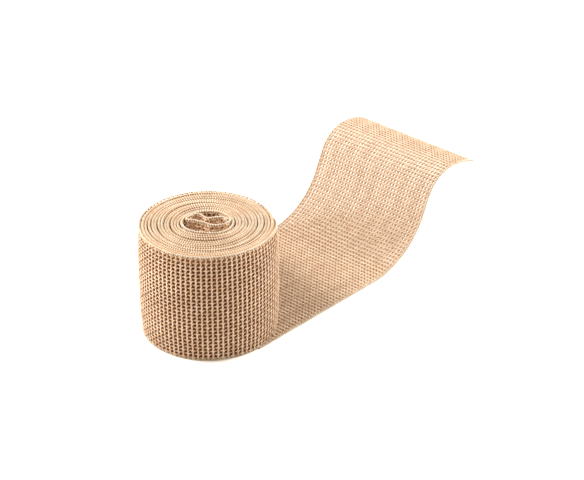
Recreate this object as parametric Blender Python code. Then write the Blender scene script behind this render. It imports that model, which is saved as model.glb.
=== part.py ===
"""Elastic bandage: one knitted band, wound into a roll that stands on its edge, with a free tail.

Metres, +Z up. The origin is the centre of the part's footprint, on the surface that it rests on.
The roll's axis is vertical. The band is wound counterclockwise from the core outwards, seen from
above. Its lower margin folds out flat at the roll's foot and becomes the tail, which runs along
the surface, climbs in an S-wave and hooks over at its cut end. The cloth is one piece, and its
wound turns and its free tail are two solids with a hairline between them.
"""

import math

import bmesh
import bpy
from mathutils import Vector

# Band
BAND_WIDTH = 0.050
TAIL_WIDTH = 0.0651
WALL = 0.00095

# Roll
CORE_RADIUS = 0.0101
TURNS = 13
TURN_GAP = 0.00038
BULGE = 0.0011
BULGE_TURNS = 3
BULGE_SHARPNESS = 4
FIRST_TURN_AZIMUTH = math.radians(15)
DENT_DEPTH = 0.0032
DENT_AZIMUTH = math.radians(270)
DENT_SPAN = math.radians(50)
DENT_TURNS = 5

# Foot of the roll, where the lower margin folds out
TAIL_HEADING = math.radians(47.6)
CREASE_RADIUS = 0.0002
FOOT_LIP = 0.0006
JOIN_GAP = 0.0003
HUG_ANGLE = math.radians(75)
SLIDE_SHARPNESS = 3
LIE_DOWN_LENGTH = 0.0705

# Tail
TAIL_LENGTH = 0.159
END_FLARE = 0.002
FLARE_START = 0.78

# Facets
FACET_ANGLE = math.radians(7.5)
INNER_FACET_ANGLE = math.radians(10)
SHOULDERS = (0, 0.08, 0.25, 0.75, 0.92, 1)
FOLD_STEPS = 4
HUG_STEPS = 11
LIE_DOWN_STEPS = 22
BEND_STEP = math.radians(4.5)

# The band's inner end, folded in an S inside the first turn, as shares of the core radius
CORE_FOLD = (
    # x, y
    (0.73, 0.19),
    (0.76, 0.34),
    (0.63, 0.49),
    (0.40, 0.49),
    (0.19, 0.41),
    (0.03, 0.36),
    (-0.13, 0.50),
    (-0.28, 0.71),
    (-0.45, 0.77),
    (-0.63, 0.65),
    (-0.78, 0.50),
    (-0.86, 0.34),
    (-0.77, 0.24),
    (-0.56, 0.23),
    (-0.32, 0.12),
    (-0.06, -0.01),
    (0.11, -0.15),
    (0.32, -0.20),
    (0.56, -0.17),
    (0.80, -0.06),
    (0.93, 0.10),
)

# Behind the roll the upright rest of the band lies down. The way is a share of the lie-down
# length, the fold line a share of the width that still stood, the bend a share of the tail width.
LIE_DOWN = (
    # way, fold line, lean in degrees, bend radius
    (0.00, 0.000, 90, 0.04),
    (0.03, 0.150, 90, 0.04),
    (0.08, 0.290, 87, 0.05),
    (0.15, 0.420, 79, 0.07),
    (0.24, 0.540, 66, 0.12),
    (0.36, 0.660, 49, 0.20),
    (0.50, 0.770, 32, 0.32),
    (0.66, 0.860, 16, 0.45),
    (0.84, 0.930, 4, 0.60),
    (1.00, 0.950, 0, 0.60),
)

# The tail's side view, from the roll to the cut end, in straights and arcs
TAIL_BENDS = (
    # share of the tail length, turn in degrees, upwards positive
    (0.464, 0),
    (0.123, 26),
    (0.137, 38.5),
    (0.053, 0),
    (0.130, -66),
    (0.093, -20.5),
)

HALF_WALL = WALL / 2
TURN_PITCH = WALL + TURN_GAP
WIND_END = TAIL_HEADING - math.pi / 2 + 2 * math.pi * (round(TURNS) + 1)
FOOT_RADIUS = CORE_RADIUS + TURN_PITCH * (WIND_END - FIRST_TURN_AZIMUTH) / (2 * math.pi)
EDGE_DISTANCE = FOOT_RADIUS + HALF_WALL + CREASE_RADIUS + FOOT_LIP
CREASE_BEND = HALF_WALL + CREASE_RADIUS
TURNS_END = WIND_END - JOIN_GAP / FOOT_RADIUS

ALONG = Vector((math.cos(TAIL_HEADING), math.sin(TAIL_HEADING), 0))
ACROSS = Vector((-math.sin(TAIL_HEADING), math.cos(TAIL_HEADING), 0))
UP = Vector((0, 0, 1))


def smooth_between(before, start, end, after, part):
    """Catmull-Rom value between start and end, for numbers or vectors."""
    linear = (end - before) * part
    square = (before * 2 - start * 5 + end * 4 - after) * part ** 2
    cube = (start * 3 - before - end * 3 + after) * part ** 3
    return start + (linear + square + cube) * 0.5


def smooth_row(table, key):
    """Row of a table at a value of its first column, smooth between the rows."""
    last = len(table) - 1
    index = 0
    while index < last - 1 and table[index + 1][0] < key:
        index += 1
    part = (key - table[index][0]) / (table[index + 1][0] - table[index][0])
    part = min(max(part, 0), 1)
    rows = [table[min(max(index + step, 0), last)] for step in (-1, 0, 1, 2)]
    return [smooth_between(*column, part) for column in zip(*rows)]


def wound_radius(angle):
    """Radius of the band's middle at a winding angle, with the dent in front of the core."""
    turn = (angle - FIRST_TURN_AZIMUTH) / (2 * math.pi)
    off = math.remainder(angle - DENT_AZIMUTH, 2 * math.pi)
    fade = max(0, 1 - turn / DENT_TURNS)
    dent = DENT_DEPTH * math.exp(-(off / DENT_SPAN) ** 2) * fade
    return CORE_RADIUS + TURN_PITCH * turn - dent


HUG_WAY = wound_radius(WIND_END + HUG_ANGLE) * math.sin(HUG_ANGLE)


def bulge_at(angle, share):
    """How far the outer turns stand out at a share of the band's width."""
    turns_in = (WIND_END + HUG_ANGLE - angle) / (2 * math.pi)
    fade = max(0, 1 - turns_in / BULGE_TURNS)
    return BULGE * fade * (1 - abs(2 * share - 1) ** BULGE_SHARPNESS)


def wound_point(angle):
    return Vector((math.cos(angle), math.sin(angle), 0)) * wound_radius(angle)


def wound_path():
    """The band's middle in plan and its winding angle, from the inner end to the last full turn."""
    fold = [Vector((x, y, 0)) * CORE_RADIUS for x, y in CORE_FOLD]
    after = [wound_point(FIRST_TURN_AZIMUTH + step * INNER_FACET_ANGLE) for step in (0, 1)]
    joined = fold + after
    path = []
    for index in range(len(fold)):
        before = joined[max(index - 1, 0)]
        for step in range(FOLD_STEPS):
            part = step / FOLD_STEPS
            path.append((smooth_between(before, *joined[index:index + 3], part), 0))
    angle = FIRST_TURN_AZIMUTH
    while angle < TURNS_END - FACET_ANGLE / 2:
        path.append((wound_point(angle), angle))
        angle += FACET_ANGLE if bulge_at(angle, 0.5) > 0 else INNER_FACET_ANGLE
    path.append((wound_point(TURNS_END), TURNS_END))
    return path


def upright_sections(path):
    """Front and back corners from the band's foot to its top, for each point of the path."""
    ends = [point for point, _ in path] + [wound_point(TURNS_END + FACET_ANGLE)]
    sections = []
    for index, (point, angle) in enumerate(path):
        way = (ends[index + 1] - ends[max(index - 1, 0)]).normalized()
        out = way.cross(UP)
        shares = SHOULDERS if bulge_at(angle, 0.5) > 0 else (0, 1)
        line = [point + UP * BAND_WIDTH * share + out * bulge_at(angle, share) for share in shares]
        sections.append(([p + out * HALF_WALL for p in line], [p - out * HALF_WALL for p in line]))
    return sections


def tail_station(way):
    """Place and heading of the tail's side view at a way from the roll's foot."""
    place, height, heading = 0.0, HALF_WALL, 0.0
    for share, turn in TAIL_BENDS:
        length = share * TAIL_LENGTH
        run = min(length, way)
        bend = math.radians(turn) * run / length
        chord = run if bend == 0 else run * math.sin(bend / 2) / (bend / 2)
        place += chord * math.cos(heading + bend / 2)
        height += chord * math.sin(heading + bend / 2)
        heading += bend
        way -= run
        if way <= 0:
            break
    return place, height, heading


def hug_fold(hug_angle):
    """Fold line, bend radius and width of the cloth that hugs the roll, its whole edge upright."""
    fold_line = EDGE_DISTANCE - wound_radius(WIND_END + hug_angle) * math.cos(hug_angle)
    bend = CREASE_BEND / math.cos(hug_angle)
    return fold_line, bend, fold_line - bend + bend * math.pi / 2 + BAND_WIDTH - HALF_WALL - bend


def top_slide(hug_angle):
    """How far the top edge has slid down the roll, so that the cloth is as wide as the tail."""
    _, _, whole = hug_fold(HUG_ANGLE)
    return (whole - TAIL_WIDTH) * (hug_angle / HUG_ANGLE) ** SLIDE_SHARPNESS


def fold_at(way):
    """Fold line, lean, bend radius and band width across the tail at a way from the foot."""
    hug_angle = math.asin(min(1, way / FOOT_RADIUS))
    for _ in range(3):
        hug_angle = math.asin(min(1, way / wound_radius(WIND_END + hug_angle)))
    if hug_angle < HUG_ANGLE:
        fold_line, bend, whole = hug_fold(hug_angle)
        return fold_line, math.pi / 2, bend, whole - top_slide(hug_angle)
    fold_line, _, _ = hug_fold(HUG_ANGLE)
    share = (way - HUG_WAY) / LIE_DOWN_LENGTH
    _, line_share, lean, bend = smooth_row(LIE_DOWN, min(share, 1))
    fold_line += line_share * (TAIL_WIDTH - fold_line)
    flare = max(0, way / TAIL_LENGTH - FLARE_START) / (1 - FLARE_START)
    width = TAIL_WIDTH + END_FLARE * flare
    bend_radius = max(bend * TAIL_WIDTH, CREASE_BEND)
    return fold_line, math.radians(max(lean, 0)), bend_radius, width


def across_band(way, reach, fold):
    """Point and slope at a reach across the band, in the plane across the tail."""
    fold_line, lean, bend_radius, _ = fold
    flat = fold_line - bend_radius * math.tan(lean / 2)
    turned = min(max((reach - flat) / bend_radius, 0), lean)
    straight = max(reach - flat - bend_radius * lean, 0)
    sideways = min(reach, flat) + bend_radius * math.sin(turned) + straight * math.cos(lean)
    raised = bend_radius * (1 - math.cos(turned)) + straight * math.sin(lean)
    place, height, heading = tail_station(way)
    lift = UP * math.cos(heading) - ALONG * math.sin(heading)
    edge = ALONG * place - ACROSS * EDGE_DISTANCE + UP * height
    slope = ACROSS * math.cos(turned) + lift * math.sin(turned)
    return edge + ACROSS * sideways + lift * raised, slope


def tail_section(way):
    """Front and back corners across the band at a way along the tail."""
    fold = fold_at(way)
    fold_line, lean, bend_radius, width = fold
    flat = fold_line - bend_radius * math.tan(lean / 2)
    bend_end = min(flat + max(bend_radius * lean, WALL), width - WALL)
    columns = [0, flat / 2, flat, flat + (bend_end - flat) / 3, flat + (bend_end - flat) * 2 / 3]
    columns += [bend_end + (width - bend_end) * share for share in SHOULDERS]
    standing = max(0, 1 - max(0, way - FOOT_RADIUS) / FOOT_RADIUS) * math.sin(lean)
    probe = WALL / 10
    front, back = [], []
    for reach in columns:
        point, slope = across_band(way, reach, fold)
        ahead, _ = across_band(way + probe, reach, fold_at(way + probe))
        out = (ahead - point).cross(slope).normalized()
        share = min(max(reach - flat, 0) / BAND_WIDTH, 1)
        point += out * bulge_at(WIND_END + HUG_ANGLE, share) * standing
        front.append(point + out * HALF_WALL)
        back.append(point - out * HALF_WALL)
    return front, back


def tail_ways():
    """Stations along the tail, close together where it bends."""
    angles = [HUG_ANGLE * step / HUG_STEPS for step in range(HUG_STEPS)]
    ways = [wound_radius(WIND_END + angle) * math.sin(angle) for angle in angles]
    ways += [HUG_WAY + LIE_DOWN_LENGTH * step / LIE_DOWN_STEPS for step in range(LIE_DOWN_STEPS + 1)]
    start = 0.0
    for share, turn in TAIL_BENDS:
        steps = max(1, math.ceil(abs(math.radians(turn)) / BEND_STEP))
        for step in range(1, steps + 1):
            way = start + share * TAIL_LENGTH * step / steps
            if way > ways[-1] + WALL:
                ways.append(way)
        start += share * TAIL_LENGTH
    return ways


def skin(mesh, first, second, faces_back):
    """Faces between two lines of corners, in steps where their numbers differ."""
    last, next_last = len(first) - 1, len(second) - 1
    faces = []
    near, far = 0, 0
    while near < last or far < next_last:
        if last == next_last:
            faces.append((first[near], second[far], second[far + 1], first[near + 1]))
            near += 1
            far += 1
        elif far * last <= near * next_last:
            faces.append((first[near], second[far], second[far + 1]))
            far += 1
        else:
            faces.append((first[near], second[far], first[near + 1]))
            near += 1
    for face in faces:
        mesh.faces.new(face[::-1] if faces_back else face)


def end_cap(mesh, front, back, faces_ahead):
    for index in range(len(front) - 1):
        face = (front[index], front[index + 1], back[index + 1], back[index])
        mesh.faces.new(face[::-1] if faces_ahead else face)


def cloth_mesh(sections):
    """One closed skin over the sections, with both ends capped."""
    mesh = bmesh.new()
    lines = []
    for front, back in sections:
        lines.append(([mesh.verts.new(p) for p in front], [mesh.verts.new(p) for p in back]))
    for (front, back), (next_front, next_back) in zip(lines, lines[1:]):
        skin(mesh, front, next_front, False)
        skin(mesh, back, next_back, True)
        mesh.faces.new((front[0], back[0], next_back[0], next_front[0]))
        mesh.faces.new((front[-1], next_front[-1], next_back[-1], back[-1]))
    end_cap(mesh, *lines[0], False)
    end_cap(mesh, *lines[-1], True)
    return mesh


def footprint_middle(sections):
    corners = [corner for front, back in sections for corner in front + back]
    xs = [corner.x for corner in corners]
    ys = [corner.y for corner in corners]
    return Vector((min(xs) + max(xs), min(ys) + max(ys), 0)) / 2


def knit_material():
    material = bpy.data.materials.new("tan_knit")
    material.use_nodes = True
    shader = material.node_tree.nodes["Principled BSDF"]
    shader.inputs["Base Color"].default_value = (0.68, 0.44, 0.27, 1)
    shader.inputs["Roughness"].default_value = 0.9
    shader.inputs["Metallic"].default_value = 0
    return material


def make_cloth(name, sections, middle, material):
    """A solid over the sections, placed so that the footprint's middle is the origin."""
    mesh = cloth_mesh(sections)
    bmesh.ops.translate(mesh, verts=mesh.verts, vec=-middle)
    data = bpy.data.meshes.new(name)
    mesh.to_mesh(data)
    mesh.free()
    data.shade_smooth()
    data.set_sharp_from_angle(angle=math.radians(40))
    data.materials.append(material)
    cloth = bpy.data.objects.new(name, data)
    bpy.context.scene.collection.objects.link(cloth)


def make_band():
    turns = upright_sections(wound_path())
    tail = [tail_section(way) for way in tail_ways()]
    middle = footprint_middle(turns + tail)
    knit = knit_material()
    make_cloth("wound_turns", turns, middle, knit)
    make_cloth("free_tail", tail, middle, knit)


for old in list(bpy.data.objects):
    bpy.data.objects.remove(old)
make_band()
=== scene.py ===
"""Looks of the elastic bandage: a tan knit of ribs and strands, wound in a roll with a free tail.

Metres, +Z up, in the frame of the CAD model. The cloth's path is worked out again from the same
sizes as the solids. The knit is drawn flat by Geometry Nodes, as yarns along and across the
cloth, and then laid on the cloth's middle surface through that surface's UV map.
"""
import math

import bmesh
import bpy
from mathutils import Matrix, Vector


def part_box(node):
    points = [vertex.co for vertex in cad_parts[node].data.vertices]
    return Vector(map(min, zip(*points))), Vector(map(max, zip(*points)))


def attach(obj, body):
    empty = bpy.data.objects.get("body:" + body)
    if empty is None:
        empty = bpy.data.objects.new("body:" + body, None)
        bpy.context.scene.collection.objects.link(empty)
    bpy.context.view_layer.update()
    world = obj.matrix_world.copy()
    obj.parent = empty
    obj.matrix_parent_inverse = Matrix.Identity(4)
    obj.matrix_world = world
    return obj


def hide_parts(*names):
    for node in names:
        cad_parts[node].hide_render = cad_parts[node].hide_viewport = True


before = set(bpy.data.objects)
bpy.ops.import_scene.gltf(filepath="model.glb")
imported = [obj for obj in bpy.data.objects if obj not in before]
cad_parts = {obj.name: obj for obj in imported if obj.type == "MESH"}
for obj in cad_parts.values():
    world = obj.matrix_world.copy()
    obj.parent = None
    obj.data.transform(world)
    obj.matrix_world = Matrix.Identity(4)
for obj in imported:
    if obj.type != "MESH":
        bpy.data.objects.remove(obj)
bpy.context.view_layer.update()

# Cloth, as in the solids
BAND_WIDTH = 0.050
TAIL_WIDTH = 0.0651
WALL = 0.00095

# Roll, as in the solids
CORE_RADIUS = 0.0101
TURNS = 13
TURN_GAP = 0.00038
BULGE = 0.0011
BULGE_TURNS = 3
BULGE_SHARPNESS = 4
FIRST_TURN_AZIMUTH = math.radians(15)
DENT_DEPTH = 0.0032
DENT_AZIMUTH = math.radians(270)
DENT_SPAN = math.radians(50)
DENT_TURNS = 5

# Foot of the roll, as in the solids
TAIL_HEADING = math.radians(47.6)
CREASE_RADIUS = 0.0002
FOOT_LIP = 0.0006
HUG_ANGLE = math.radians(75)
SLIDE_SHARPNESS = 3
LIE_DOWN_LENGTH = 0.0705

# Tail, as in the solids
TAIL_LENGTH = 0.159
END_FLARE = 0.002
FLARE_START = 0.78

# The band's inner end, folded in an S inside the first turn, as shares of the core radius
CORE_FOLD = (
    # x, y
    (0.73, 0.19),
    (0.76, 0.34),
    (0.63, 0.49),
    (0.40, 0.49),
    (0.19, 0.41),
    (0.03, 0.36),
    (-0.13, 0.50),
    (-0.28, 0.71),
    (-0.45, 0.77),
    (-0.63, 0.65),
    (-0.78, 0.50),
    (-0.86, 0.34),
    (-0.77, 0.24),
    (-0.56, 0.23),
    (-0.32, 0.12),
    (-0.06, -0.01),
    (0.11, -0.15),
    (0.32, -0.20),
    (0.56, -0.17),
    (0.80, -0.06),
    (0.93, 0.10),
)

# How the upright rest of the band lies down behind the roll. The way is a share of the lie-down
# length, the fold line a share of the width that still stood, the bend a share of the tail width.
LIE_DOWN = (
    # way, fold line, lean in degrees, bend radius
    (0.00, 0.000, 90, 0.04),
    (0.03, 0.150, 90, 0.04),
    (0.08, 0.290, 87, 0.05),
    (0.15, 0.420, 79, 0.07),
    (0.24, 0.540, 66, 0.12),
    (0.36, 0.660, 49, 0.20),
    (0.50, 0.770, 32, 0.32),
    (0.66, 0.860, 16, 0.45),
    (0.84, 0.930, 4, 0.60),
    (1.00, 0.950, 0, 0.60),
)

# The tail's side view, from the roll to the cut end, in straights and arcs
TAIL_BENDS = (
    # share of the tail length, turn in degrees, upwards positive
    (0.464, 0),
    (0.123, 26),
    (0.137, 38.5),
    (0.053, 0),
    (0.130, -66),
    (0.093, -20.5),
)

# Knit
RIB_SPACING = 0.00208
STRANDS_ACROSS_TAIL = 38
STRAND_STEP = TAIL_WIDTH / STRANDS_ACROSS_TAIL
RIB_SIDES = 4
STRAND_SIDES = 6
POINTS_PER_CELL = 3
WOBBLE_SIZE = 0.004
WOBBLE_DETAIL = 1.0
KNIT_SEED = 0
RIBS = (
    # stretch, ply radius, ply swing, zigzag
    ("core", 0.00028, 0.00024, 0.00008),
    ("roll", 0.00030, 0.00021, 0.00006),
    ("tail", 0.00047, 0.00036, 0.00008),
)
STRANDS = (
    # stretch, half width, half height, swing, bow
    ("core", 0.00036, 0.00030, 0.00022, 0.00016),
    ("roll", 0.00033, 0.00029, 0.00024, 0.00015),
    ("tail", 0.00064, 0.00038, 0.00012, 0.00008),
)
CLOTHS = (
    # stretch, wobble, flatness, lift, selvage rows
    ("core", 0.00012, 0.60, 0.00000, 1),
    ("roll", 0.00018, 0.45, 0.00020, 1),
    ("tail", 0.00015, 0.60, 0.00000, 2),
)

# Inputs that every tree of yarns has
SHARED_SIZES = ("Length", "Width", "Start", "End", "Selvage", "Wobble", "Flatness", "Lift")

# Unevenness of the wound turns
WANDERS = (
    # reach, times per radian, start in radians
    (0.00009, 2.7, 1.0),
    (0.00010, 0.45, 2.0),
)
RISES = (
    # reach, times per radian, start in radians
    (0.00022, 1.9, 0.5),
    (0.00018, 0.31, 1.0),
)

# Edges of the cloth
SELVAGE_STEP = 0.00053
SELVAGE_RADIUS = 0.00032
SELVAGE_BEAD = 0.30
SELVAGE_POINTS_PER_BEAD = 4
SELVAGE_ROW_SHIFT = 2
STITCH_SPACING = 0.00104
STITCH_RADIUS = 0.00019
STITCH_DEPTH = 0.00055
STITCH_HALF_WIDTH = 0.00044
STITCH_SIDES = 4
STITCH_TURN = math.radians(230)
STITCH_LEAN = 0.00030
STITCH_POINTS = 7

# Yarn's surface. Between the two distances of a depth shade range from the cloth's middle, the yarn goes
# from a painted shade, darkest at the cloth's middle inside the mesh, to its lit and shaded colours.
YARN_ROUGHNESS = 0.9
YARN_SHEEN = 0.1
DEPTH_SHADE_RANGE = (0.00001, 0.00034)
TAIL_DEPTH_SHADE_RANGE = (0.00010, 0.00038)
FIBRE_PITCH = 0.0011
FIBRE_DEPTH = 0.00006
FIBRE_TURNS = 2
FIBRE_HEIGHT = 0.6
FUZZ_HEIGHT = 0.8
FUZZ_SIZE = 0.00022
FUZZ_RANGE = (0.3, 0.7)
DRIFT_SIZE = 0.0035
DRIFT_DETAIL = 3.0
DRIFT_RANGE = (0.35, 0.65)
DRIFT_SHARE = 0.5
FUZZ_SHARE = 0.3
FIBRE_SHARE = 0.2

# Colours of the yarns: lit, shaded and, where the yarn runs through the mesh, a painted shade for its
# parts near the cloth's middle
RIB_COLOURS = ((0.78, 0.61, 0.44, 1), (0.59, 0.38, 0.225, 1), (0.27, 0.10, 0.033, 1))
STRAND_COLOURS = ((0.69, 0.48, 0.31, 1), (0.49, 0.285, 0.15, 1), (0.25, 0.085, 0.027, 1))
# Tail yarns: the roll's yarn painted darker, a painted shade that holds the tail's brightness down under
# the lamps
TAIL_RIB_PAINTED_SHADE_COLOURS = ((0.60, 0.46, 0.325, 1), (0.48, 0.33, 0.21, 1), (0.26, 0.105, 0.04, 1))
TAIL_STRAND_PAINTED_SHADE_COLOURS = ((0.48, 0.315, 0.185, 1), (0.36, 0.21, 0.11, 1), (0.21, 0.08, 0.028, 1))
TAIL_EDGE_PAINTED_SHADE_COLOURS = ((0.52, 0.395, 0.275, 1), (0.38, 0.255, 0.155, 1))
# Core yarn, painted paler than the roll's: a painted light for the light that passes through the thin
# folded cloth at the core
CORE_PAINTED_LIGHT_COLOURS = ((0.95, 0.81, 0.61, 1), (0.84, 0.58, 0.36, 1), (0.48, 0.20, 0.08, 1))
# Stitches over the edges: pale cream, a painted highlight of the brightly lit top edges
EDGE_PAINTED_HIGHLIGHT_COLOURS = ((0.78, 0.70, 0.57, 1), (0.56, 0.43, 0.29, 1))
SELVAGE_COLOURS = ((0.61, 0.50, 0.38, 1), (0.46, 0.32, 0.21, 1))

# Surface of the wound wall: painted shade, darkest on its faces and less dark at the rim near the top
RIM_WIDTH = 0.0060
FLECK_RANGE = (0.45, 0.75)
WALL_DEPTH = 0.00024
WALL_RIM_SHADE_COLOUR = (0.46, 0.27, 0.14, 1)
WALL_FLECK_SHADE_COLOUR = (0.20, 0.07, 0.025, 1)
WALL_SHADE_COLOUR = (0.09, 0.024, 0.007, 1)

# Wound wall between the first turn and the outer one
TURN_HALF = 0.00042
OUTER_PADDING = 0.00036
PADDED_TURNS = 2
WALL_OVERLAP = math.radians(7)
EDGE_ROUNDING = 0.0005
EDGE_ARC_STEPS = 4
WALL_SHARES = (0, 0.08, 0.25, 0.5, 0.75, 0.92, 1)

# Facets
FOLD_STEPS = 6
FACET_ANGLE = math.radians(4)
HUG_STEPS = 30
LIE_DOWN_STEPS = 60
TAIL_STEP = 0.0012
GUIDE_MARGIN = 0.0012
FLAT_CLEARANCE = 0.0006
GUIDE_COLUMNS = 12
TAIL_COLUMNS = 40
HUG_ROUNDS = 3
JOINT_CLEARANCE = 1e-6

# Camera, placed by the roll's base centre
CAMERA_PLACE = Vector((0.035575, -0.728292, 0.456995))
CAMERA_PITCH = math.radians(29.70)
CAMERA_LENS = 123.288
CAMERA_NEAR = 0.01

# Studio
WORLD_COLOUR = (1.0, 0.95, 0.88, 1)
WORLD_STRENGTH = 0.70
LIGHT_AIM = (0, 0, 0.02)
LIGHTS = (
    # name, place, size, power
    ("key", (-0.60, 0.10, 0.42), 0.4, 10.2),
    ("rim", (0.7, 0.25, 0.55), 0.5, 12.6),
)
FLOOR_COLOUR = (0.97, 0.93, 0.88, 1)
FLOOR_ROUGHNESS = 0.9
FLOOR_REACH = 4.0

HALF_WALL = WALL / 2
TURN_PITCH = WALL + TURN_GAP
WIND_END = TAIL_HEADING - math.pi / 2 + 2 * math.pi * (TURNS + 1)
OUTER_START = WIND_END - 2 * math.pi
WALL_START = FIRST_TURN_AZIMUTH + 2 * math.pi
WALL_END = OUTER_START + HUG_ANGLE - WALL_OVERLAP
HUG_END = WIND_END + HUG_ANGLE
FOOT_RADIUS = CORE_RADIUS + TURN_PITCH * (WIND_END - FIRST_TURN_AZIMUTH) / (2 * math.pi)
EDGE_DISTANCE = FOOT_RADIUS + HALF_WALL + CREASE_RADIUS + FOOT_LIP
CREASE_BEND = HALF_WALL + CREASE_RADIUS

ALONG = Vector((math.cos(TAIL_HEADING), math.sin(TAIL_HEADING), 0))
ACROSS = Vector((-math.sin(TAIL_HEADING), math.cos(TAIL_HEADING), 0))
UP = Vector((0, 0, 1))


def smooth_between(before, start, end, after, part):
    """Catmull-Rom value between start and end, for numbers or vectors."""
    linear = (end - before) * part
    square = (before * 2 - start * 5 + end * 4 - after) * part ** 2
    cube = (start * 3 - before - end * 3 + after) * part ** 3
    return start + (linear + square + cube) * 0.5


def smooth_row(table, key):
    """Row of a table at a value of its first column, smooth between the rows."""
    last = len(table) - 1
    index = 0
    while index < last - 1 and table[index + 1][0] < key:
        index += 1
    part = (key - table[index][0]) / (table[index + 1][0] - table[index][0])
    part = min(max(part, 0), 1)
    rows = [table[min(max(index + step, 0), last)] for step in (-1, 0, 1, 2)]
    return [smooth_between(*column, part) for column in zip(*rows)]


def uneven(table, angle):
    """Sum of the slow waves of a table, none on the outer turn."""
    turns_in = (WIND_END - angle) / (2 * math.pi)
    fade = min(max(turns_in - 1, 0), 1)
    return fade * sum(reach * math.sin(times * angle + start) for reach, times, start in table)


def wound_radius(angle):
    """Radius of the cloth's middle at a winding angle, with the dent in front of the core."""
    turn = (angle - FIRST_TURN_AZIMUTH) / (2 * math.pi)
    off = math.remainder(angle - DENT_AZIMUTH, 2 * math.pi)
    fade = max(0, 1 - turn / DENT_TURNS)
    dent = DENT_DEPTH * math.exp(-(off / DENT_SPAN) ** 2) * fade
    return CORE_RADIUS + TURN_PITCH * turn - dent + uneven(WANDERS, angle)


HUG_WAY = wound_radius(WIND_END + HUG_ANGLE) * math.sin(HUG_ANGLE)


def bulge_at(angle, share):
    """How far the outer turns stand out at a share of the band's width."""
    turns_in = (WIND_END + HUG_ANGLE - angle) / (2 * math.pi)
    fade = max(0, 1 - turns_in / BULGE_TURNS)
    return BULGE * fade * max(0, 1 - abs(2 * share - 1) ** BULGE_SHARPNESS)


def wound_point(angle):
    return Vector((math.cos(angle), math.sin(angle), 0)) * wound_radius(angle)


def core_path():
    """The folded inner end in plan, as points with the winding angle 0."""
    fold = [Vector((x, y, 0)) * CORE_RADIUS for x, y in CORE_FOLD]
    after = [wound_point(FIRST_TURN_AZIMUTH + step * FACET_ANGLE * 2) for step in (0, 1)]
    joined = fold + after
    path = []
    for index in range(len(fold)):
        before = joined[max(index - 1, 0)]
        for step in range(FOLD_STEPS):
            place = smooth_between(before, *joined[index:index + 3], step / FOLD_STEPS)
            path.append((place, 0))
    return path


def wound_path(start, end):
    """Points and winding angles of the spiral between two winding angles."""
    steps = math.ceil((end - start) / FACET_ANGLE)
    angles = [start + (end - start) * step / steps for step in range(steps + 1)]
    return [(wound_point(angle), angle) for angle in angles]


def tail_station(way):
    """Place and heading of the tail's side view at a way from the roll's foot."""
    place, height, heading = 0.0, HALF_WALL, 0.0
    for share, turn in TAIL_BENDS:
        length = share * TAIL_LENGTH
        run = min(length, way)
        bend = math.radians(turn) * run / length
        chord = run if bend == 0 else run * math.sin(bend / 2) / (bend / 2)
        place += chord * math.cos(heading + bend / 2)
        height += chord * math.sin(heading + bend / 2)
        heading += bend
        way -= run
        if way <= 0:
            break
    return place + way * math.cos(heading), height + way * math.sin(heading), heading


def hug_fold(hug_angle):
    """Fold line, bend radius and width of the cloth that hugs the roll, its whole edge upright."""
    fold_line = EDGE_DISTANCE - wound_radius(WIND_END + hug_angle) * math.cos(hug_angle)
    bend = CREASE_BEND / math.cos(hug_angle)
    return fold_line, bend, fold_line - bend + bend * math.pi / 2 + BAND_WIDTH - HALF_WALL - bend


def top_slide(hug_angle):
    """How far the top edge has slid down the roll, so that the cloth is as wide as the tail."""
    _, _, whole = hug_fold(HUG_ANGLE)
    return (whole - TAIL_WIDTH) * (hug_angle / HUG_ANGLE) ** SLIDE_SHARPNESS


def fold_at(way):
    """Fold line, lean, bend radius and band width across the tail at a way from the foot."""
    hug_angle = math.asin(min(1, way / FOOT_RADIUS))
    for _ in range(HUG_ROUNDS):
        hug_angle = math.asin(min(1, way / wound_radius(WIND_END + hug_angle)))
    if hug_angle < HUG_ANGLE:
        fold_line, bend, whole = hug_fold(hug_angle)
        return fold_line, math.pi / 2, bend, whole - top_slide(hug_angle)
    fold_line, _, _ = hug_fold(HUG_ANGLE)
    share = (way - HUG_WAY) / LIE_DOWN_LENGTH
    _, line_share, lean, bend = smooth_row(LIE_DOWN, min(share, 1))
    fold_line += line_share * (TAIL_WIDTH - fold_line)
    flare = max(0, way / TAIL_LENGTH - FLARE_START) / (1 - FLARE_START)
    width = TAIL_WIDTH + END_FLARE * flare
    bend_radius = max(bend * TAIL_WIDTH, CREASE_BEND)
    return fold_line, math.radians(max(lean, 0)), bend_radius, width


def across_tail(way, reach, fold):
    """Point at a reach across the band, in the plane across the tail."""
    fold_line, lean, bend_radius, _ = fold
    flat = fold_line - bend_radius * math.tan(lean / 2)
    turned = min(max((reach - flat) / bend_radius, 0), lean)
    straight = max(reach - flat - bend_radius * lean, 0)
    sideways = min(reach, flat) + bend_radius * math.sin(turned) + straight * math.cos(lean)
    raised = bend_radius * (1 - math.cos(turned)) + straight * math.sin(lean)
    place, height, heading = tail_station(way)
    lift = UP * math.cos(heading) - ALONG * math.sin(heading)
    edge = ALONG * place - ACROSS * EDGE_DISTANCE + UP * height
    return edge + ACROSS * sideways + lift * raised


def roll_axis():
    """Where the roll's axis stands in the frame, from the box of the wound turns."""
    low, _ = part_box("wound_turns")
    corners = []
    for point, angle in wound_path(OUTER_START - 2 * math.pi, WIND_END):
        out = point.normalized()
        corners.append(point + out * (HALF_WALL + bulge_at(angle, 0.5)))
    lowest = Vector((min(c.x for c in corners), min(c.y for c in corners), 0))
    return Vector((low.x - lowest.x, low.y - lowest.y, 0))


AXIS = roll_axis()


def add_object(name, data):
    """A new object in the scene."""
    made = bpy.data.objects.new(name, data)
    bpy.context.scene.collection.objects.link(made)
    return made


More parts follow.
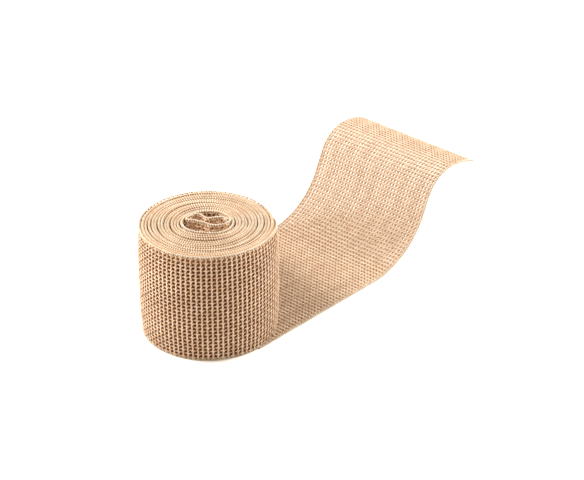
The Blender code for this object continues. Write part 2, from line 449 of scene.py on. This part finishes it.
class Guide:
    """The cloth's middle surface, whose UV map holds shares of the way along and across it."""

    def __init__(self, name, length, width):
        self.length = length
        self.width = width
        self.mesh = bmesh.new()
        self.map = self.mesh.loops.layers.uv.new("cloth")
        self.name = name

    def patch(self, rows):
        """Faces through rows of points, each point with its way along and across."""
        lines = [[(self.mesh.verts.new(p + AXIS), u, v) for p, u, v in row] for row in rows]
        for line, after in zip(lines, lines[1:]):
            for index in range(len(line) - 1):
                corners = (line[index], after[index], after[index + 1], line[index + 1])
                face = self.mesh.faces.new([corner[0] for corner in corners])
                for loop, (_, u, v) in zip(face.loops, corners):
                    loop[self.map].uv = (u / self.length, v / self.width)

    def finish(self):
        data = bpy.data.meshes.new(self.name)
        self.mesh.to_mesh(data)
        self.mesh.free()
        data.shade_smooth()
        self.object = add_object(self.name, data)
        return self


def stations(path, start_way):
    """Point, winding angle, way along and outward direction at each step of an upright path."""
    last = len(path) - 1
    way = start_way
    for index, (point, angle) in enumerate(path):
        if index:
            way += (point - path[index - 1][0]).length
        heading = path[min(index + 1, last)][0] - path[max(index - 1, 0)][0]
        yield point, angle, way, heading.normalized().cross(UP)


def upright_rows(path, start_way):
    """Rows of an upright stretch of cloth, and the way along it at its last row."""
    rows = []
    for point, angle, way, out in stations(path, start_way):
        slide = top_slide(angle - WIND_END) if angle > WIND_END else 0
        stretch = 1 + uneven(RISES, angle) / BAND_WIDTH
        low = FLAT_CLEARANCE if angle > WIND_END else -GUIDE_MARGIN
        high = BAND_WIDTH - slide + GUIDE_MARGIN
        row = []
        for column in range(GUIDE_COLUMNS + 1):
            height = low + column / GUIDE_COLUMNS * (high - low)
            share = height / BAND_WIDTH
            place = point + UP * height * stretch + out * (bulge_at(angle, share) if angle else 0)
            row.append((place, way, height + slide))
        rows.append(row)
    return rows, way


def tail_rows(ways, top_of):
    """Rows across the tail at ways from the foot, up to the reach that top_of gives."""
    rows = []
    for way in ways:
        fold = fold_at(way)
        stretch = fold[3] / TAIL_WIDTH
        row = []
        for column in range(TAIL_COLUMNS + 1):
            reach = column / TAIL_COLUMNS * (top_of(fold) + 2 * GUIDE_MARGIN) - GUIDE_MARGIN
            row.append((across_tail(way, reach, fold), way, reach / stretch))
        rows.append(row)
    return rows


def steps_between(start, end, count):
    return [start + (end - start) * step / count for step in range(count + 1)]


def make_guides():
    """The roll's guide and the tail's, with the ways where the first and the outer turn start."""
    core = core_path() + wound_path(FIRST_TURN_AZIMUTH, WALL_START)
    core_rows, core_way = upright_rows(core, 0)
    inner_rows, inner_way = upright_rows(wound_path(WALL_START, WALL_END), core_way)
    outer_rows, end_way = upright_rows(wound_path(WALL_END, HUG_END), inner_way)
    angles = steps_between(0, HUG_ANGLE, HUG_STEPS)[:-1]
    flat_ways = [wound_radius(WIND_END + angle) * math.sin(angle) for angle in angles]
    flat_ways.append(HUG_WAY - JOINT_CLEARANCE)
    flat_rows = tail_rows(flat_ways, lambda fold: fold[0] - GUIDE_MARGIN)
    flat_end = HUG_WAY + LIE_DOWN_LENGTH
    cut_end = TAIL_LENGTH + GUIDE_MARGIN
    far_ways = steps_between(HUG_WAY, flat_end, LIE_DOWN_STEPS)[:-1]
    far_ways += steps_between(flat_end, cut_end, math.ceil((cut_end - flat_end) / TAIL_STEP))
    far_rows = tail_rows(far_ways, lambda fold: fold[3])
    roll = Guide("roll_guide", end_way, BAND_WIDTH)
    for rows in (core_rows, inner_rows, outer_rows):
        roll.patch(rows)
    tail = Guide("tail_guide", cut_end, TAIL_WIDTH)
    tail.patch(flat_rows)
    tail.patch(far_rows)
    return roll.finish(), tail.finish(), core_way, inner_way


class Value:
    """A node's output that Python's operators turn into Math nodes."""

    def __init__(self, tree, socket):
        self.tree = tree
        self.socket = socket

    def math(self, operation, *others):
        sockets = dict(enumerate((self, *others)))
        return self.tree.add("ShaderNodeMath", {"operation": operation}, sockets)

    def __add__(self, other):
        return self.math("ADD", other)

    __radd__ = __add__

    def __mul__(self, other):
        return self.math("MULTIPLY", other)

    __rmul__ = __mul__

    def __sub__(self, other):
        return self.math("SUBTRACT", other)

    def __rsub__(self, other):
        return (self * -1).math("ADD", other)

    def __truediv__(self, other):
        return self.math("DIVIDE", other)

    def sin(self):
        return self.math("SINE")

    def cos(self):
        return self.math("COSINE")

    def between(self, low, high):
        """Smooth step from 0 at low to 1 at high."""
        settings = {"interpolation_type": "SMOOTHSTEP"}
        sockets = {"Value": self, "From Min": low, "From Max": high}
        return self.tree.add("ShaderNodeMapRange", settings, sockets)


class Tree:
    """A node tree that is written as Python expressions."""

    def __init__(self, tree):
        self.tree = tree

    def add(self, kind, settings=None, sockets=None, out=0):
        """A node's output, or the node itself where out is None."""
        node = self.tree.nodes.new(kind)
        for name, value in (settings or {}).items():
            setattr(node, name, value)
        for name, value in (sockets or {}).items():
            self.join(value, node.inputs[name])
        return node if out is None else Value(self, node.outputs[out])

    def join(self, value, socket):
        if isinstance(value, Value):
            self.tree.links.new(value.socket, socket)
        else:
            socket.default_value = value

    def vector(self, x=0, y=0, z=0):
        return self.add("ShaderNodeCombineXYZ", None, {"X": x, "Y": y, "Z": z})

    def parts(self, vector):
        node = self.add("ShaderNodeSeparateXYZ", None, {0: vector}, None)
        return [Value(self, node.outputs[axis]) for axis in "XYZ"]

    def vectors(self, operation, one, other):
        return self.add("ShaderNodeVectorMath", {"operation": operation}, {0: one, 1: other})

    def scaled(self, vector, factor):
        sockets = {0: vector, "Scale": factor}
        return self.add("ShaderNodeVectorMath", {"operation": "SCALE"}, sockets)


class Growth(Tree):
    """A Geometry Nodes tree that grows yarns on a guide."""

    def __init__(self, name, sizes):
        super().__init__(bpy.data.node_groups.new(name, "GeometryNodeTree"))
        ports = self.tree.interface
        ports.new_socket("Guide", in_out="INPUT", socket_type="NodeSocketGeometry")
        for size in (*SHARED_SIZES, *sizes):
            ports.new_socket(size, in_out="INPUT", socket_type="NodeSocketFloat")
        ports.new_socket("Yarn", in_out="INPUT", socket_type="NodeSocketMaterial")
        ports.new_socket("Seed", in_out="INPUT", socket_type="NodeSocketInt")
        ports.new_socket("Cloth", in_out="OUTPUT", socket_type="NodeSocketGeometry")
        self.given = self.tree.nodes.new("NodeGroupInput")
        self.tree.is_modifier = True

    def size(self, name):
        return Value(self, self.given.outputs[name])

    def place(self):
        return self.parts(self.add("GeometryNodeInputPosition"))

    def moved(self, geometry, offset):
        return self.add("GeometryNodeSetPosition", None, {"Geometry": geometry, "Offset": offset})

    def put(self, geometry, position):
        return self.add("GeometryNodeSetPosition", None, {"Geometry": geometry, "Position": position})

    def strand_places(self):
        """Reach of the first strand's near side, number of strands, and their even distance."""
        margin = self.size("Selvage") * SELVAGE_STEP
        room = self.size("Width") - 2 * margin
        count = (room / self.size("Step")).math("ROUND")
        return margin, count, room / count

    def line(self, end):
        """A straight line from the origin."""
        return self.add("GeometryNodeCurvePrimitiveLine", None, {"End": end})

    def copies(self, count, start, step, line, points):
        """Copies of a straight line, resampled to a number of points."""
        sockets = {"Count": count, "Start Location": start, "Offset": step}
        places = self.add("GeometryNodeMeshLine", {"mode": "OFFSET"}, sockets)
        fine = self.add("GeometryNodeResampleCurve", None, {"Curve": line, "Count": points})
        laid = self.add("GeometryNodeInstanceOnPoints", None, {"Points": places, "Instance": fine})
        return self.add("GeometryNodeRealizeInstances", None, {"Geometry": laid})

    def wobbled(self, lines):
        """Lines pushed about in the cloth's plane by a slow noise."""
        sockets = {"Scale": 1 / WOBBLE_SIZE, "Detail": WOBBLE_DETAIL, "W": self.size("Seed")}
        noise = self.add("ShaderNodeTexNoise", {"noise_dimensions": "4D"}, sockets, "Color")
        x, y, _ = self.parts(noise)
        swing = self.size("Wobble") * 2
        return self.moved(lines, self.vector((x - 0.5) * swing, (y - 0.5) * swing, 0))

    def tubes(self, lines, wide, high, sides, swell=1.0):
        """Closed tubes round the lines, which remember the way along and around them."""
        ring = self.add("GeometryNodeCurvePrimitiveCircle", None, {"Resolution": sides, "Radius": 1.0})
        along = self.add("GeometryNodeSplineParameter", None, None, "Length")
        lines = self.kept(lines, "yarn_way", along)
        around = self.add("GeometryNodeSplineParameter", None, None, "Factor")
        ring = self.kept(ring, "yarn_round", around)
        sized = self.add("GeometryNodeSetCurveRadius", None, {"Curve": lines, "Radius": swell})
        sockets = {"Geometry": ring, "Scale": self.vector(wide, high, 1)}
        profile = self.add("GeometryNodeTransform", None, sockets)
        sockets = {"Curve": sized, "Profile Curve": profile, "Fill Caps": True}
        return self.add("GeometryNodeCurveToMesh", None, sockets)

    def kept(self, geometry, name, value, kind="FLOAT"):
        settings = {"data_type": kind, "domain": "POINT"}
        sockets = {"Geometry": geometry, "Name": name, "Value": value}
        return self.add("GeometryNodeStoreNamedAttribute", settings, sockets)

    def laid_on_guide(self, flat):
        """The flat knit laid on the guide: x and y are read as ways, z stands out from it."""
        x, y, z = self.place()
        share = self.vector(x / self.size("Length"), y / self.size("Width"), 0)
        flat = self.kept(flat, "cloth", self.vector(x, y, z), "FLOAT_VECTOR")
        uv = self.add("GeometryNodeInputNamedAttribute", {"data_type": "FLOAT_VECTOR"}, {"Name": "cloth"})
        guide = self.size("Guide")
        spots = []
        for field in ("GeometryNodeInputPosition", "GeometryNodeInputNormal"):
            sockets = {"Mesh": guide, "Value": self.add(field), "UV Map": uv, "Sample UV": share}
            spot = self.add("GeometryNodeSampleUVSurface", {"data_type": "FLOAT_VECTOR"}, sockets, None)
            spots.append(spot)
        ground, normal = (Value(self, spot.outputs["Value"]) for spot in spots)
        valid = Value(self, spots[0].outputs["Is Valid"])
        outside = self.add("FunctionNodeBooleanMath", {"operation": "NOT"}, {0: valid})
        out = z * self.size("Flatness") + self.size("Lift")
        target = self.vectors("ADD", ground, self.scaled(normal, out))
        flat = self.kept(flat, "outside", outside, "BOOLEAN")
        gone = self.add("GeometryNodeInputNamedAttribute", {"data_type": "BOOLEAN"}, {"Name": "outside"})
        sockets = {"Geometry": self.put(flat, target), "Selection": gone}
        return self.add("GeometryNodeDeleteGeometry", {"domain": "POINT"}, sockets)

    def finish(self, mesh):
        smooth = self.add("GeometryNodeSetShadeSmooth", None, {0: mesh})
        real = self.add("GeometryNodeRealizeInstances", None, {"Geometry": smooth})
        sockets = {"Geometry": real, "Material": self.size("Yarn")}
        done = self.add("GeometryNodeSetMaterial", None, sockets)
        output = self.tree.nodes.new("NodeGroupOutput")
        self.join(done, output.inputs[0])
        return self.tree


def rib_tree():
    """Ribs across the cloth, each of two plies that twist round one another."""
    tree = Growth("ribs", ("Spacing", "Step", "Radius", "Swing", "Zigzag"))
    width, start, end = tree.size("Width"), tree.size("Start"), tree.size("End")
    spacing, swing = tree.size("Spacing"), tree.size("Swing")
    margin, _, step = tree.strand_places()
    inset = SELVAGE_STEP / 2
    line = tree.line(tree.vector(0, width - 2 * inset, 0))
    count = ((end - start) / spacing).math("FLOOR")
    plies = tree.add("GeometryNodeJoinGeometry", None, None, None)
    for phase in (0, math.pi):
        first = tree.vector(start + spacing / 2, inset, 0)
        points = width / step * POINTS_PER_CELL
        lines = tree.copies(count, first, tree.vector(spacing, 0, 0), line, points)
        _, y, _ = tree.place()
        strands = (y - margin) / step
        twist = strands * math.pi + phase
        lean = (strands * (2 * math.pi)).sin() * tree.size("Zigzag")
        offset = tree.vector(twist.cos() * swing + lean, 0, twist.sin() * swing)
        tree.tree.links.new(tree.moved(lines, offset).socket, plies.inputs[0])
    lines = tree.wobbled(Value(tree, plies.outputs[0]))
    radius = tree.size("Radius")
    return tree.finish(tree.laid_on_guide(tree.tubes(lines, radius, radius, RIB_SIDES)))


def strand_tree():
    """Strands along the cloth, which pass over one rib and under the next and bow up between."""
    tree = Growth("strands", ("Spacing", "Step", "Wide", "High", "Swing", "Bow"))
    start, spacing = tree.size("Start"), tree.size("Spacing")
    margin, count, step = tree.strand_places()
    span = tree.size("End") - start
    line = tree.line(tree.vector(span, 0, 0))
    first = tree.vector(start, margin + step / 2, 0)
    points = span / spacing * POINTS_PER_CELL
    lines = tree.copies(count, first, tree.vector(0, step, 0), line, points)
    x, y, _ = tree.place()
    cell = (x - start) / spacing
    phase = (cell + ((y - margin) / step).math("FLOOR")) * math.pi
    bow = (cell * (2 * math.pi)).cos() * tree.size("Bow")
    lines = tree.moved(lines, tree.vector(0, bow, phase.sin() * tree.size("Swing")))
    lines = tree.wobbled(lines)
    wide, high = tree.size("Wide"), tree.size("High")
    return tree.finish(tree.laid_on_guide(tree.tubes(lines, wide, high, STRAND_SIDES)))


def selvage_tree():
    """Beaded rows of yarn side by side along one edge of the cloth."""
    tree = Growth("selvage", ("Edge", "Side", "Step"))
    start, edge, side = tree.size("Start"), tree.size("Edge"), tree.size("Side")
    span = tree.size("End") - start
    line = tree.line(tree.vector(span, 0, 0))
    first = tree.vector(start, edge - side * (SELVAGE_STEP / 2), 0)
    points = span / tree.size("Step") * SELVAGE_POINTS_PER_BEAD
    next_row = tree.vector(0, side * -SELVAGE_STEP, 0)
    lines = tree.copies(tree.size("Selvage"), first, next_row, line, points)
    x, y, _ = tree.place()
    beads = x / tree.size("Step") * (2 * math.pi) + y / SELVAGE_STEP * SELVAGE_ROW_SHIFT
    beads = beads.sin() * SELVAGE_BEAD + 1
    tubes = tree.tubes(lines, SELVAGE_RADIUS, SELVAGE_RADIUS, RIB_SIDES, beads)
    return tree.finish(tree.laid_on_guide(tubes))


def stitch_tree():
    """Stitches over one edge of the cloth, from its front to its back."""
    tree = Growth("stitches", ("Edge", "Side", "Spacing"))
    start, spacing, side = tree.size("Start"), tree.size("Spacing"), tree.size("Side")
    line = tree.line((0, 0, 1))
    count = ((tree.size("End") - start) / spacing).math("FLOOR")
    first = tree.vector(start + spacing / 2, 0, 0)
    lines = tree.copies(count, first, tree.vector(spacing, 0, 0), line, STITCH_POINTS)
    x, _, part = tree.place()
    turn = (part - 0.5) * STITCH_TURN
    inward = (1 - turn.cos()) * STITCH_DEPTH
    y = tree.size("Edge") - side * inward
    x = x + (part - 0.5) * STITCH_LEAN
    lines = tree.put(lines, tree.vector(x, y, turn.sin() * STITCH_HALF_WIDTH))
    tubes = tree.tubes(lines, STITCH_RADIUS, STITCH_RADIUS, STITCH_SIDES)
    return tree.finish(tree.laid_on_guide(tubes))


def grow(name, guide, tree, material, **sizes):
    """The mesh that a tree grows on a guide, as a plain piece."""
    modifier = guide.object.modifiers.new(name, "NODES")
    modifier.node_group = tree
    given = {"Length": guide.length, "Width": guide.width, "Yarn": material, "Seed": KNIT_SEED, **sizes}
    for item in tree.interface.items_tree:
        if item.item_type == "SOCKET" and item.in_out == "INPUT" and item.name in given:
            modifier[item.identifier] = given[item.name]
    bpy.context.view_layer.update()
    evaluated = guide.object.evaluated_get(bpy.context.evaluated_depsgraph_get())
    mesh = bpy.data.meshes.new_from_object(evaluated)
    guide.object.modifiers.remove(modifier)
    mesh.name = name
    return add_object(name, mesh)


def wall_profile():
    """Half thickness and reach round the wound wall, from its foot up its front and back down."""
    straight = BAND_WIDTH - 2 * EDGE_ROUNDING
    front = [(TURN_HALF, EDGE_ROUNDING + share * straight) for share in WALL_SHARES]
    top, foot = [], []
    for step in range(1, EDGE_ARC_STEPS):
        turn = math.pi * step / EDGE_ARC_STEPS
        rise = EDGE_ROUNDING * math.sin(turn)
        top.append((TURN_HALF * math.cos(turn), BAND_WIDTH - EDGE_ROUNDING + rise))
        foot.append((-TURN_HALF * math.cos(turn), EDGE_ROUNDING - rise))
    back = [(-half, reach) for half, reach in reversed(front)]
    return front + top + back + foot


def make_wound_wall(material, start_way):
    """The wound turns between the first and the outer one, as one closed wall with rounded edges."""
    path = wound_path(WALL_START, WALL_END + FACET_ANGLE)
    profile = wall_profile()
    mesh = bmesh.new()
    cloth = mesh.loops.layers.uv.new("cloth")
    rings, ways = [], []
    for point, angle, way, out in stations(path, start_way):
        turns_in = (WALL_END - angle) / (2 * math.pi)
        padding = OUTER_PADDING * min(max(PADDED_TURNS - turns_in, 0), 1)
        ring = []
        for half, reach in profile:
            height = reach * (1 + uneven(RISES, angle) / BAND_WIDTH)
            bulge = bulge_at(angle, reach / BAND_WIDTH) + max(half, 0) / TURN_HALF * padding
            ring.append(mesh.verts.new(AXIS + point + out * (half + bulge) + UP * height))
        rings.append(ring)
        ways.append(way)
    count = len(profile)
    for index in range(len(rings) - 1):
        for corner in range(count):
            after = (corner + 1) % count
            spots = ((index, corner), (index + 1, corner), (index + 1, after), (index, after))
            face = mesh.faces.new([rings[i][k] for i, k in spots])
            for loop, (i, k) in zip(face.loops, spots):
                loop[cloth].uv = (ways[i], profile[k][1])
    mesh.faces.new(rings[0])
    mesh.faces.new(rings[-1][::-1])
    data = bpy.data.meshes.new("wound_wall")
    mesh.to_mesh(data)
    mesh.free()
    data.shade_smooth()
    data.materials.append(material)
    return add_object("wound_wall", data)


class Finish(Tree):
    """A material's shader, and the colour and height that feed it."""

    def __init__(self, name):
        self.material = bpy.data.materials.new(name)
        self.material.use_nodes = True
        super().__init__(self.material.node_tree)
        self.shader = self.material.node_tree.nodes["Principled BSDF"]
        self.shader.inputs["Roughness"].default_value = YARN_ROUGHNESS
        self.shader.inputs["Sheen Weight"].default_value = YARN_SHEEN
        self.object = self.add("ShaderNodeTexCoord", None, None, "Object")

    def noise(self, size, detail=2.0):
        """Noise on the object's own coordinates, with lumps of about a size."""
        sockets = {"Vector": self.object, "Scale": 1 / size, "Detail": detail}
        return self.add("ShaderNodeTexNoise", None, sockets)

    def attribute(self, name, out="Fac"):
        return self.add("ShaderNodeAttribute", {"attribute_name": name}, None, out)

    def mixed(self, factor, one, other):
        """Colour between two others."""
        return self.add("ShaderNodeMix", {"data_type": "RGBA"}, {0: factor, 6: one, 7: other}, 2)

    def finish(self, colour, height, depth):
        bump = self.add("ShaderNodeBump", None, {"Height": height, "Distance": depth})
        self.join(colour, self.shader.inputs["Base Color"])
        self.join(bump, self.shader.inputs["Normal"])
        return self.material


def yarn_material(name, light, dark, depth_shade=None, depth_shade_range=DEPTH_SHADE_RANGE):
    """Spun yarn: slanted fibres, fuzz, a drifting tone of colour, and a painted shade that darkens the
    yarn towards the cloth's middle.
    """
    tree = Finish(name)
    way, around = tree.attribute("yarn_way"), tree.attribute("yarn_round")
    fibres = ((way / FIBRE_PITCH + around * FIBRE_TURNS) * (2 * math.pi)).sin() * 0.5 + 0.5
    fuzz = tree.noise(FUZZ_SIZE)
    drift = tree.noise(DRIFT_SIZE, DRIFT_DETAIL).between(*DRIFT_RANGE)
    shade = drift * DRIFT_SHARE + fuzz.between(*FUZZ_RANGE) * FUZZ_SHARE + (1 - fibres) * FIBRE_SHARE
    colour = tree.mixed(shade, light, dark)
    if depth_shade:
        # Painted shade: the nearer the yarn lies to the cloth's middle, the darker it is painted
        _, _, out = tree.parts(tree.attribute("cloth", "Vector"))
        colour = tree.mixed(out.math("ABSOLUTE").between(*depth_shade_range), depth_shade, colour)
    return tree.finish(colour, fibres * FIBRE_HEIGHT + fuzz * FUZZ_HEIGHT, FIBRE_DEPTH)


def rib_yarn():
    return yarn_material("rib_yarn", *RIB_COLOURS)


def strand_yarn():
    return yarn_material("strand_yarn", *STRAND_COLOURS)


# Painted shade: the tail's yarns are painted darker than the same yarn on the roll
def tail_rib_yarn():
    return yarn_material("tail_rib_yarn", *TAIL_RIB_PAINTED_SHADE_COLOURS, depth_shade_range=TAIL_DEPTH_SHADE_RANGE)


def tail_strand_yarn():
    return yarn_material("tail_strand_yarn", *TAIL_STRAND_PAINTED_SHADE_COLOURS, depth_shade_range=TAIL_DEPTH_SHADE_RANGE)


def tail_edge_yarn():
    return yarn_material("tail_edge_yarn", *TAIL_EDGE_PAINTED_SHADE_COLOURS)


# Painted light: the core's yarn is painted paler than the same yarn elsewhere
def core_yarn():
    return yarn_material("core_yarn", *CORE_PAINTED_LIGHT_COLOURS)


# Painted highlight: the stitches over the edges are painted paler and creamier than the yarn
def edge_yarn():
    return yarn_material("edge_yarn", *EDGE_PAINTED_HIGHLIGHT_COLOURS)


def selvage_yarn():
    return yarn_material("selvage_yarn", *SELVAGE_COLOURS)


def wall_knit():
    """Wound turns behind the outer one, painted with shade: near-black brown with lighter flecks, and a
    less dark painted shade at the rim that fades into it.
    """
    tree = Finish("wall_knit")
    _, reach, _ = tree.parts(tree.add("ShaderNodeUVMap", {"uv_map": "cloth"}))
    fuzz = tree.noise(FUZZ_SIZE)
    # Painted shade where the holes of the outer turn and the gaps between the turns show the wall
    face = tree.mixed(fuzz.between(*FLECK_RANGE), WALL_SHADE_COLOUR, WALL_FLECK_SHADE_COLOUR)
    edge = (reach + (fuzz - 0.5) * RIM_WIDTH).between(BAND_WIDTH - RIM_WIDTH, BAND_WIDTH)
    return tree.finish(tree.mixed(edge, face, WALL_RIM_SHADE_COLOUR), fuzz, WALL_DEPTH)


def floor_material():
    material = bpy.data.materials.new("pale_floor")
    material.use_nodes = True
    shader = material.node_tree.nodes["Principled BSDF"]
    shader.inputs["Base Color"].default_value = FLOOR_COLOUR
    shader.inputs["Roughness"].default_value = FLOOR_ROUGHNESS
    return material


def make_floor():
    mesh = bpy.data.meshes.new("floor")
    reach = FLOOR_REACH
    corners = [(-reach, -reach, 0), (reach, -reach, 0), (reach, reach, 0), (-reach, reach, 0)]
    mesh.from_pydata(corners, [], [(0, 1, 2, 3)])
    mesh.materials.append(floor_material())
    add_object("floor", mesh)


def make_light(name, place, size, power):
    data = bpy.data.lights.new(name, "AREA")
    data.shape = "DISK"
    data.size = size
    data.energy = power
    light = add_object(name, data)
    light.location = place
    light.rotation_euler = (Vector(LIGHT_AIM) - Vector(place)).to_track_quat("-Z", "Y").to_euler()


def make_studio():
    world = bpy.data.worlds.new("studio")
    world.use_nodes = True
    background = world.node_tree.nodes["Background"]
    background.inputs["Color"].default_value = WORLD_COLOUR
    background.inputs["Strength"].default_value = WORLD_STRENGTH
    bpy.context.scene.world = world
    for light in LIGHTS:
        make_light(*light)
    bpy.context.scene.view_settings.view_transform = "Standard"


def make_camera():
    data = bpy.data.cameras.new("camera")
    data.lens = CAMERA_LENS
    data.clip_start = CAMERA_NEAR
    camera = add_object("camera", data)
    camera.location = AXIS + CAMERA_PLACE
    camera.rotation_euler = (math.pi / 2 - CAMERA_PITCH, 0, 0)
    bpy.context.scene.camera = camera


def edges(guide):
    """Name, reach and outward side of the two edges of a guide's cloth."""
    return ("far", guide.width, 1), ("near", 0.0, -1)


def make_stitches(stretches, yarn):
    """Stitches over both edges of the whole band."""
    tree = stitch_tree()
    made = []
    for label, (guide, start, end) in stretches.items():
        for name, edge, side in edges(guide):
            sizes = {"Start": start, "End": end, "Edge": edge, "Side": side, "Flatness": 1.0,
                     "Spacing": STITCH_SPACING}
            made.append(grow(f"{label}_{name}_stitches", guide, tree, yarn, **sizes))
    return made


def make_selvages(stretches, yarns):
    """Rows of yarn along both edges, where the cloth's face shows."""
    tree = selvage_tree()
    made = []
    for label, _, _, lift, rows in CLOTHS:
        guide, start, end = stretches[label]
        for name, edge, side in edges(guide):
            sizes = {"Start": start, "End": end, "Edge": edge, "Side": side, "Flatness": 1.0,
                     "Lift": lift, "Selvage": rows, "Step": STITCH_SPACING}
            made.append(grow(f"{label}_{name}_selvage", guide, tree, yarns[label], **sizes))
    return made


def make_knit(stretches, yarns):
    """Ribs and strands of the stretches whose face shows."""
    rib, strand = rib_tree(), strand_tree()
    made = []
    for (label, wobble, flatness, lift, rows), ribs, strands in zip(CLOTHS, RIBS, STRANDS):
        guide, start, end = stretches[label]
        across, along = yarns[label]
        shared = {"Start": start, "End": end, "Spacing": RIB_SPACING, "Step": STRAND_STEP,
                  "Wobble": wobble, "Flatness": flatness, "Lift": lift, "Selvage": rows}
        _, radius, swing, zigzag = ribs
        sizes = {"Radius": radius, "Swing": swing, "Zigzag": zigzag, **shared}
        made.append(grow(f"{label}_ribs", guide, rib, across, **sizes))
        _, wide, high, swing, bow = strands
        sizes = {"Wide": wide, "High": high, "Swing": swing, "Bow": bow, **shared}
        made.append(grow(f"{label}_strands", guide, strand, along, **sizes))
    return made


make_camera()
make_studio()
make_floor()
roll_guide, tail_guide, core_way, outer_way = make_guides()
wall = make_wound_wall(wall_knit(), core_way)
stretches = {
    "core": (roll_guide, 0.0, core_way),
    "wound": (roll_guide, core_way, outer_way),
    "roll": (roll_guide, outer_way, roll_guide.length),
    "tail": (tail_guide, 0.0, tail_guide.length),
}
core, selvage = core_yarn(), selvage_yarn()
knit_yarns = {
    "core": (core, core),
    "roll": (rib_yarn(), strand_yarn()),
    "tail": (tail_rib_yarn(), tail_strand_yarn()),
}
selvage_yarns = {"core": selvage, "roll": selvage, "tail": tail_edge_yarn()}
cover = make_knit(stretches, knit_yarns)
cover += make_stitches(stretches, edge_yarn())
cover += make_selvages(stretches, selvage_yarns)
for guide in (roll_guide, tail_guide):
    bpy.data.objects.remove(guide.object)
for piece in (wall, *cover):
    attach(piece, "root")
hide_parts("wound_turns", "free_tail")
